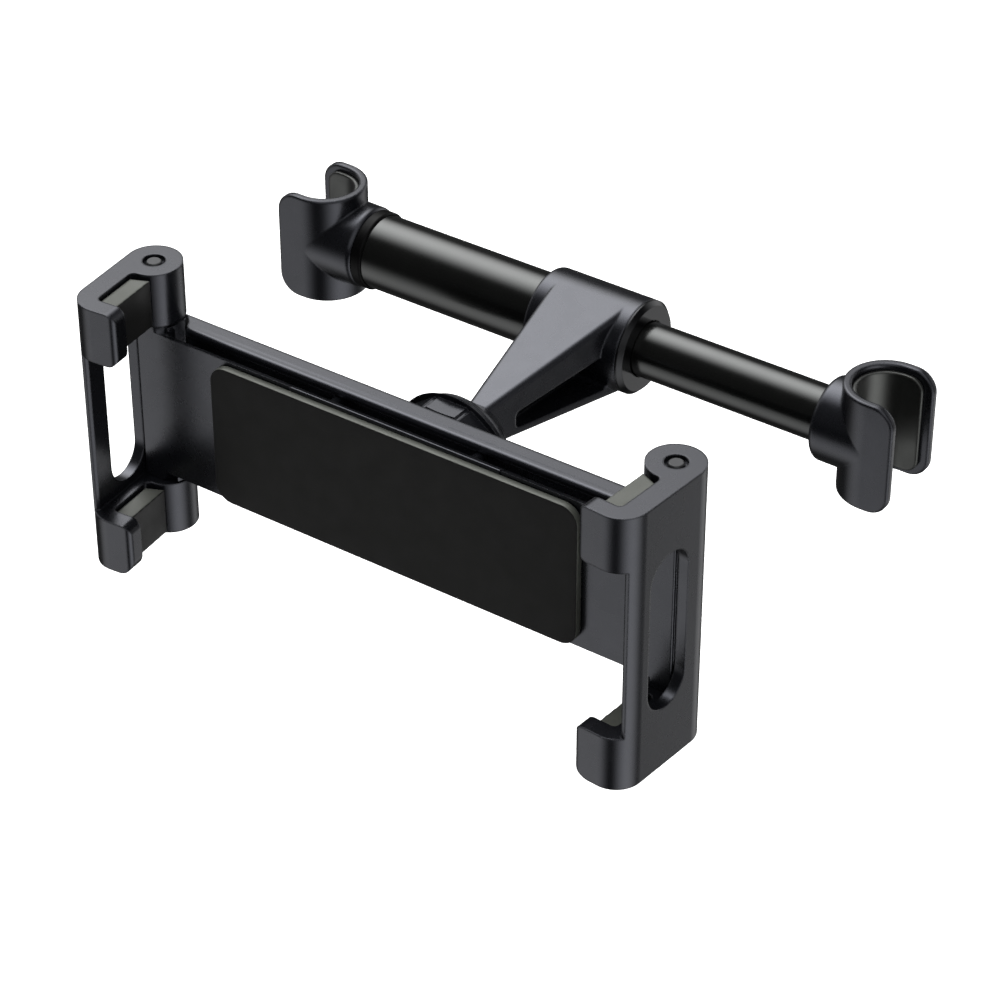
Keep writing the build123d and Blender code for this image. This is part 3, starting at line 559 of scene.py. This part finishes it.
def refitted(name: str, node: str, tools: list[Tool]) -> bpy.types.Object:
    """Copies a node's solid and joins or cuts further forms.

    Args:
        name: The new piece's name.
        node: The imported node's name.
        tools: Pairs of a boolean operation and the form it uses, which is removed.

    Returns:
        The new piece.
    """
    bm = bmesh.new()
    bm.from_mesh(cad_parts[node].data)
    bmesh.ops.remove_doubles(bm, verts=bm.verts, dist=MERGE_DISTANCE * MM)
    work = link_mesh(f"{name}_blank", bm)
    for operation, tool in tools:
        change = work.modifiers.new("form", "BOOLEAN")
        change.operation = operation
        change.solver = "EXACT"
        change.object = tool
    mesh = baked(work)
    for _, tool in tools:
        bpy.data.objects.remove(tool)
    bpy.data.objects.remove(work)
    return shown(name, mesh)


@dataclass
class EdgeForms:
    """The forms along the holder's upper and lower edges."""

    wall_front: float = -75.8
    lip_front: float = -76.95
    lip_overlap: float = 0.8
    lip_foot: float = 1.4
    foot_overlap: float = 0.2
    lip_round: float = 1.0
    lip_drop: float = 3.2
    lip_half_x: float = 65.6
    plate_back: float = -79.9
    plate_fall: float = 1.3
    front_margin: float = 0.02
    over_edge: float = 1.0
    round_steps: int = 6

    def lip(self, top: float, up: int) -> bpy.types.Object:
        """Makes the rolled lip along the housing wall's edge.

        Args:
            top: The edge's height.
            up: 1 at the upper edge, -1 at the lower.

        Returns:
            The lip's form.
        """
        inner = self.wall_front + self.lip_overlap
        outline = [(inner, top)]
        for step in range(self.round_steps + 1):
            turn = step / self.round_steps * QUARTER
            y = self.lip_front + self.lip_round * (1 - math.sin(turn))
            outline.append((y, top - up * self.lip_round * (1 - math.cos(turn))))
        outline.append((self.lip_front, top - up * (self.lip_drop - self.lip_foot)))
        outline.append((self.wall_front + self.foot_overlap, top - up * self.lip_drop))
        outline.append((inner, top - up * self.lip_drop))
        return extruded(outline, -self.lip_half_x, self.lip_half_x, upright=False)

    def fall(self, front: float, top: float, up: int, start: float, end: float) -> bpy.types.Object:
        """Makes the wedge that a front plate's edge loses towards its back.

        Args:
            front: The plate's front face.
            top: The edge's height.
            up: 1 at the upper edge, -1 at the lower.
            start: The wedge's first end.
            end: The wedge's other end.

        Returns:
            The wedge's form.
        """
        front -= self.front_margin
        over = top + up * self.over_edge
        low = top - up * self.plate_fall
        outline = [(front, top), (self.plate_back, low), (self.plate_back, over), (front, over)]
        return extruded(outline, start, end, upright=False)

    def falls(self, front: float, heights: Pair, start: float, end: float) -> list[Tool]:
        """Makes the cuts along a front plate's upper and lower edges.

        Args:
            front: The plate's front face.
            heights: The heights of the upper and the lower edge.
            start: The cuts' first end.
            end: The cuts' other end.

        Returns:
            The two cuts.
        """
        cuts = zip(heights, (1, -1))
        return [("DIFFERENCE", self.fall(front, z, up, start, end)) for z, up in cuts]


@dataclass
class KnuckleWall:
    """The thick side of a slide's hinge knuckle, which faces the housing's end."""

    centre: Pair = (73.07, -78.0)
    inner_r: float = 4.4
    outer_r: float = 7.0
    first: float = -30.0
    last: float = 24.0
    proud: float = 2.1
    steps: int = 12

    def arc(self, side: int, radius: float, turns: list[float]) -> list[Pair]:
        """Gives an arc round the hinge pin.

        Args:
            side: -1 for the left slide and 1 for the right one.
            radius: The arc's radius.
            turns: The points' angles from the direction towards the housing.

        Returns:
            The arc's (x, y) points.
        """
        x, y = self.centre
        return [(side * (x - radius * math.cos(t)), y + radius * math.sin(t)) for t in turns]

    def form(self, side: int, low: float, high: float) -> bpy.types.Object:
        """Makes the wall.

        Args:
            side: -1 for the left slide and 1 for the right one.
            low: The housing's lower edge.
            high: The housing's upper edge.

        Returns:
            The wall's form.
        """
        span = self.last - self.first
        steps = range(self.steps + 1)
        turns = [math.radians(self.first + span * step / self.steps) for step in steps]
        outer = self.arc(side, self.outer_r, turns)
        inner = self.arc(side, self.inner_r, turns[::-1])
        return extruded(outer + inner, low - self.proud, high + self.proud, upright=True)


# Soft pieces


def softened(name: str, node: str, voxel: float, passes: int) -> bpy.types.Object:
    """Copies a node's solid into a soft piece whose edges are rounded off.

    Args:
        name: The new object's name.
        node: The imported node's name.
        voxel: The remesh size, in millimetres.
        passes: How many smoothing passes round the edges.

    Returns:
        The new object, which fills the node's space.
    """
    source = bpy.data.objects.new(name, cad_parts[node].data.copy())
    bpy.context.scene.collection.objects.link(source)
    remesh = source.modifiers.new("remesh", "REMESH")
    remesh.mode = "VOXEL"
    remesh.voxel_size = voxel * MM
    smooth = source.modifiers.new("smooth", "SMOOTH")
    smooth.factor = SMOOTH_FACTOR
    smooth.iterations = passes
    mesh = baked(source)
    mesh.name = name
    source.modifiers.clear()
    source.data = mesh
    for face in mesh.polygons:
        face.use_smooth = True
    return source


@dataclass
class FrontPad:
    """The soft pad on the holder's front: a crowned slab with rolled edges."""

    corner_r: float = 4.6
    least_corner_r: float = 0.15
    back_inset: float = 0.12
    back_rise: float = 0.14
    # Rows of the pad's rim that get the lighter colour, a painted highlight.
    painted_highlight_rows: int = 4
    proud: float = 0.5
    taller: float = 0.25
    roll: float = 0.3
    crown: float = 0.14
    crown_reach: float = 7.0
    crown_pace: float = 3.0
    corner_steps: int = 10
    roll_steps: int = 5
    ring_insets: tuple[float, ...] = (1.2, 2.2, 3.6, 5.4, 7.6, 10.2, 13.0, 15.8, 18.2)

    def outline(self, half_x: float, half_z: float, inset: float) -> list[Pair]:
        """Gives one ring of the slab.

        Args:
            half_x: Half the pad's length.
            half_z: Half the pad's height.
            inset: How far the ring lies inside the pad's outline.

        Returns:
            The ring's points, in order.
        """
        radius = max(self.corner_r - inset, self.least_corner_r)
        x = half_x - inset - radius
        z = half_z - inset - radius
        points = []
        for quarter, (sx, sz) in enumerate(((1, 1), (-1, 1), (-1, -1), (1, -1))):
            for step in range(self.corner_steps + 1):
                turn = (quarter + step / self.corner_steps) * QUARTER
                across = sx * x + radius * math.cos(turn)
                points.append((across, sz * z + radius * math.sin(turn)))
        return points

    def rings(self, thick: float) -> list[Pair]:
        """Lists the slab's rings from its back to its middle.

        Args:
            thick: The pad's thickness.

        Returns:
            Pairs of inset and height above the pad's back.
        """
        rim = thick - self.crown
        found = [(self.back_inset, 0.0), (0.0, self.back_rise), (0.0, rim - self.roll)]
        for step in range(1, self.roll_steps + 1):
            turn = step / self.roll_steps * QUARTER
            height = rim - self.roll * (1 - math.sin(turn))
            found.append((self.roll * (1 - math.cos(turn)), height))
        for inset in self.ring_insets:
            rise = 1.0 - math.exp(-(inset - self.roll) / self.crown_reach * self.crown_pace)
            found.append((inset, rim + self.crown * rise))
        return found

    def build(self, wardrobe: Wardrobe) -> None:
        """Makes the pad in its node's place.

        Args:
            wardrobe: The finishes.
        """
        low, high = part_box("front_pad")
        middle = (low + high) / (2 * MM)
        half = (high - low) / (2 * MM)
        half.z += self.taller
        bm = bmesh.new()
        rows = []
        for inset, rise in self.rings(2 * half.y + self.proud):
            y = high.y / MM - rise
            ring = self.outline(half.x, half.z, inset)
            points = [((middle.x + x) * MM, y * MM, (middle.z + z) * MM) for x, z in ring]
            rows.append([bm.verts.new(point) for point in points])
        count = len(rows[0])
        for number, (lower, upper) in enumerate(zip(rows, rows[1:])):
            for i in range(count):
                j = (i + 1) % count
                face = bm.faces.new((lower[i], lower[j], upper[j], upper[i]))
                # The rim rows get the second, lighter finish: a painted highlight along the pad's
                # edges.
                face.material_index = 1 if number < self.painted_highlight_rows else 0
        bm.faces.new(rows[0])
        bm.faces.new(rows[-1])
        piece = link_mesh("front_cushion", bm)
        wardrobe.dress(piece, Coat.FOAM_PAD, Coat.PAD_PAINTED_HIGHLIGHT)
        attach(piece, "holder")
        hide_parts("front_pad")
        LOG.info("made %s", piece.name)


@dataclass
class SoftGrip:
    """A rubber piece that stands in its node's place with softened edges."""

    node: str
    body: str
    voxel: float
    passes: int
    # Whether the faces that point up or down get the lighter colour, a painted highlight.
    painted_highlight_ends: bool
    coat: Coat = Coat.RUBBER

    def build(self, wardrobe: Wardrobe) -> None:
        """Makes the rubber piece.

        Args:
            wardrobe: The finishes.
        """
        piece = softened(f"{self.node}_rubber", self.node, self.voxel, self.passes)
        # Faces pointing up or down get the second, lighter finish: a painted highlight on the pads'
        # ends.
        wardrobe.dress(piece, self.coat, Coat.PAD_PAINTED_HIGHLIGHT)
        for face in piece.data.polygons:
            faces_up_or_down = abs(face.normal.z) > PAINTED_HIGHLIGHT_NORMAL
            face.material_index = 1 if self.painted_highlight_ends and faces_up_or_down else 0
        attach(piece, self.body)
        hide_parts(self.node)
        LOG.info("made %s", piece.name)


# Sub-assemblies


@dataclass
class Rod:
    """The telescopic rod with its two post clamps."""

    liner_voxel: float = 0.28
    liner_passes: int = 3
    spring_fixed_x: float = -73.25
    rod_travel: float = 32.0

    def spring(self, wardrobe: Wardrobe) -> None:
        """Makes the spring in the rod.

        Args:
            wardrobe: The finishes.
        """
        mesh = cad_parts["rod_spring"].data.copy()
        piece = bpy.data.objects.new("rod_coil", mesh)
        bpy.context.scene.collection.objects.link(piece)
        wardrobe.dress(piece, Coat.STEEL)
        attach(piece, "rod")
        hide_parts("rod_spring")
        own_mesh(piece)
        LOG.info("made %s", piece.name)

    def build(self, wardrobe: Wardrobe) -> None:
        """Dresses the rod and makes the clamps' liners.

        Args:
            wardrobe: The finishes.
        """
        dress_nodes(wardrobe, ("left_clamp", "right_clamp"), Coat.CLAMP_SHELL)
        dress_nodes(wardrobe, ("left_tube_collar",), Coat.GASKET)
        dress_nodes(wardrobe, ("outer_tube", "inner_tube"), Coat.TUBE)
        dress_nodes(wardrobe, ("outer_tube_bush", "inner_tube_bush"), Coat.ACETAL)
        self.spring(wardrobe)
        for side, body in (("left", "rod"), ("right", "rod_end")):
            liner = SoftGrip(
                node=f"{side}_clamp_liner",
                body=body,
                voxel=self.liner_voxel,
                passes=self.liner_passes,
                painted_highlight_ends=False,
                coat=Coat.LINER,
            )
            liner.build(wardrobe)


@dataclass
class Arm:
    """The arm with its hub, ball joint and lock nut."""

    def build(self, wardrobe: Wardrobe) -> None:
        """Dresses the arm.

        Args:
            wardrobe: The finishes.
        """
        dress_nodes(wardrobe, ("arm",), Coat.ARM_SHELL)
        dress_nodes(wardrobe, ("lock_nut",), Coat.NUT_SHELL)
        dress_nodes(wardrobe, ("hub_end_ring",), Coat.RING)
        dress_nodes(wardrobe, ("ball_seat_outer", "ball_seat_inner"), Coat.ACETAL)
        dress_nodes(wardrobe, ("ball_stud",), Coat.STEEL)


@dataclass
class Holder:
    """The holder's housing, slides, pinion and front pad."""

    edges: EdgeForms = field(default_factory=EdgeForms)
    knuckle: KnuckleWall = field(default_factory=KnuckleWall)
    slide_front: float = -82.4
    carrier_front: float = -82.2
    plate_stop_x: float = 67.9
    carrier_margin: float = 0.5

    def place(
        self, wardrobe: Wardrobe, piece: bpy.types.Object, node: str, body: str, coat: Coat
    ) -> None:
        """Dresses a rigid piece that stands for its node.

        Args:
            wardrobe: The finishes.
            piece: The piece.
            node: The node it replaces.
            body: The body it rides on.
            coat: Its finish.
        """
        wardrobe.dress(piece, coat)
        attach(piece, body)
        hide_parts(node)
        LOG.info("made %s", piece.name)

    def build(self, wardrobe: Wardrobe) -> None:
        """Makes the holder's shells and front pad and dresses the rest.

        Args:
            wardrobe: The finishes.
        """
        low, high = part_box("back_housing")
        bottom, top = low.z / MM, high.z / MM
        edges = (top, bottom)
        lips = [("UNION", self.edges.lip(top, 1)), ("UNION", self.edges.lip(bottom, -1))]
        shell = refitted("housing_shell", "back_housing", lips)
        self.place(wardrobe, shell, "back_housing", "holder", Coat.SHELL)
        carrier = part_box("front_carrier")[1].x / MM
        half = carrier + self.carrier_margin
        falls = self.edges.falls(self.carrier_front, edges, -half, half)
        shell = refitted("carrier_shell", "front_carrier", falls)
        self.place(wardrobe, shell, "front_carrier", "holder", Coat.SLIDE_SHELL)
        for side, name in ((-1, "left"), (1, "right")):
            inner = side * (carrier - self.carrier_margin)
            outer = side * self.plate_stop_x
            forms = [("UNION", self.knuckle.form(side, bottom, top))]
            forms += self.edges.falls(self.slide_front, edges, inner, outer)
            shell = refitted(f"{name}_slide_shell", f"{name}_slide", forms)
            self.place(wardrobe, shell, f"{name}_slide", f"{name}_carriage", Coat.SLIDE_SHELL)
        dress_nodes(wardrobe, ("pinion",), Coat.ACETAL)
        dress_nodes(wardrobe, ("pinion_screw", "pinion_spring", "carrier_screws"), Coat.STEEL)
        FrontPad().build(wardrobe)


@dataclass
class Jaws:
    """The folding jaws with their pads and hinge pins."""

    pad_voxel: float = 0.22
    pad_passes: int = 3

    def build(self, wardrobe: Wardrobe) -> None:
        """Dresses the jaws and makes their pads.

        Args:
            wardrobe: The finishes.
        """
        for side in ("left", "right"):
            dress_nodes(wardrobe, (f"{side}_jaw",), Coat.SHELL)
            dress_nodes(wardrobe, (f"{side}_hinge_pin",), Coat.BLACK_STEEL)
            for level in ("upper", "lower"):
                pad = SoftGrip(
                    node=f"{side}_{level}_pad",
                    body=f"{side}_hook",
                    voxel=self.pad_voxel,
                    passes=self.pad_passes,
                    # The pads' up- and down-facing ends get the lighter colour, a painted highlight.
                    painted_highlight_ends=True,
                )
                pad.build(wardrobe)


# Stage


@dataclass(frozen=True)
class Softbox:
    """A soft round patch of light in the room.

    It lies in one direction, is brightest at its middle and fades out at its
    reach, an angle in degrees.
    """

    name: str
    towards: Point
    strength: float
    reach: float


@dataclass
class Stage:
    """The floor, the room's light and the camera."""

    camera_at: Point = (0.3891, -0.5948, 0.4478)
    right: Point = (0.8187, 0.5743, 0.0)
    forward: Point = (-0.4698, 0.6698, -0.5751)
    lens: float = 122.4
    sensor: float = 36.0
    floor_z: float = -0.30
    floor_size: float = 8.0
    floor_colour: Colour = (0.9, 0.9, 0.9)
    floor_glow: float = 0.6
    ambient: float = 0.05
    softboxes: list[Softbox] = field(
        default_factory=lambda: [
            Softbox("overhead", (-0.47, 0.30, 0.83), 7.0, 42.0),
            Softbox("low_front", (-0.47, -0.62, -0.63), 1.5, 35.0),
            Softbox("low_right", (0.78, -0.25, -0.58), 2.5, 45.0),
            Softbox("low_back", (0.34, 0.75, -0.57), 0.95, 26.0),
            Softbox("top_from_behind", (0.45, -0.60, 0.66), 1.1, 46.0),
            Softbox("top_from_above", (0.25, -0.05, 0.97), 1.1, 36.0),
            Softbox("front_fill", (0.25, -0.95, 0.20), 0.6, 36.0),
            Softbox("rear_fill", (0.30, 0.94, 0.10), 1.4, 38.0),
            Softbox("right_fill", (0.97, -0.10, 0.15), 1.0, 36.0),
            Softbox("left_fill", (-0.97, 0.10, 0.15), 0.9, 36.0),
        ]
    )

    def floor(self) -> None:
        """Makes the pale floor, which the object's surfaces don't mirror."""
        mesh = bpy.data.meshes.new("floor")
        half = self.floor_size / 2
        z = self.floor_z
        corners = [(-half, -half, z), (half, -half, z), (half, half, z), (-half, half, z)]
        mesh.from_pydata(corners, [], [(0, 1, 2, 3)])
        obj = bpy.data.objects.new("floor", mesh)
        bpy.context.scene.collection.objects.link(obj)
        tree = Tree("pale_floor")
        shader = tree.node("ShaderNodeBsdfPrincipled", Roughness=0.9)
        shader.inputs["Base Color"].default_value = (*self.floor_colour, 1.0)
        shader.inputs["Emission Color"].default_value = WHITE
        shader.inputs["Emission Strength"].default_value = self.floor_glow
        out = tree.node("ShaderNodeOutputMaterial")
        tree.join(shader.outputs["BSDF"], out.inputs["Surface"])
        obj.data.materials.append(tree.material)
        obj.visible_glossy = False
        obj.visible_diffuse = False

    def room(self) -> None:
        """Makes the room: a dim surround with softboxes, plain white to the eye."""
        world = bpy.data.worlds.new("room")
        world.use_nodes = True
        nodes = world.node_tree.nodes
        links = world.node_tree.links
        background = nodes["Background"]
        direction = nodes.new("ShaderNodeTexCoord").outputs["Generated"]
        total = None
        for box in self.softboxes:
            dot = nodes.new("ShaderNodeVectorMath")
            dot.operation = "DOT_PRODUCT"
            dot.inputs[1].default_value = Vector(box.towards).normalized()
            links.new(direction, dot.inputs[0])
            fade = nodes.new("ShaderNodeMapRange")
            fade.inputs["From Min"].default_value = math.cos(math.radians(box.reach))
            fade.inputs["From Max"].default_value = 1.0
            links.new(dot.outputs["Value"], fade.inputs["Value"])
            square = nodes.new("ShaderNodeMath")
            square.operation = "POWER"
            square.inputs[1].default_value = 2.0
            links.new(fade.outputs["Result"], square.inputs[0])
            lit = nodes.new("ShaderNodeMath")
            lit.operation = "MULTIPLY_ADD"
            lit.inputs[1].default_value = box.strength
            lit.inputs[2].default_value = self.ambient
            links.new(square.outputs["Value"], lit.inputs[0])
            if total is not None:
                links.new(total, lit.inputs[2])
            total = lit.outputs["Value"]
            LOG.info("hung the softbox %s", box.name)
        seen = nodes.new("ShaderNodeLightPath").outputs["Is Camera Ray"]
        pick = nodes.new("ShaderNodeMix")
        pick.inputs["B"].default_value = 1.0
        links.new(seen, pick.inputs["Factor"])
        links.new(total, pick.inputs["A"])
        links.new(pick.outputs["Result"], background.inputs["Strength"])
        background.inputs["Color"].default_value = WHITE
        bpy.context.scene.world = world

    def camera(self) -> None:
        """Makes the camera at the photograph's viewing angle."""
        data = bpy.data.cameras.new("camera")
        data.lens = self.lens
        data.sensor_width = self.sensor
        data.clip_start = 0.01
        data.clip_end = 20.0
        obj = bpy.data.objects.new("camera", data)
        right = Vector(self.right).normalized()
        back = -Vector(self.forward).normalized()
        up = back.cross(right).normalized()
        right = up.cross(back).normalized()
        turned = Matrix((right, up, back)).transposed().to_4x4()
        obj.matrix_world = Matrix.Translation(self.camera_at) @ turned
        bpy.context.scene.collection.objects.link(obj)
        bpy.context.scene.camera = obj

    def build(self) -> None:
        """Makes the whole stage."""
        self.floor()
        self.room()
        self.camera()
        bpy.context.scene.view_settings.view_transform = "Standard"
        LOG.info("stage ready")


def main() -> None:
    """Builds the looks in order."""
    logging.basicConfig(level=logging.INFO, format="%(name)s: %(message)s")
    wardrobe = Wardrobe()
    for part in (Rod(), Arm(), Holder(), Jaws()):
        part.build(wardrobe)
        LOG.info("built %s", type(part).__name__)
    Stage().build()


if __name__ == "__main__":
    main()
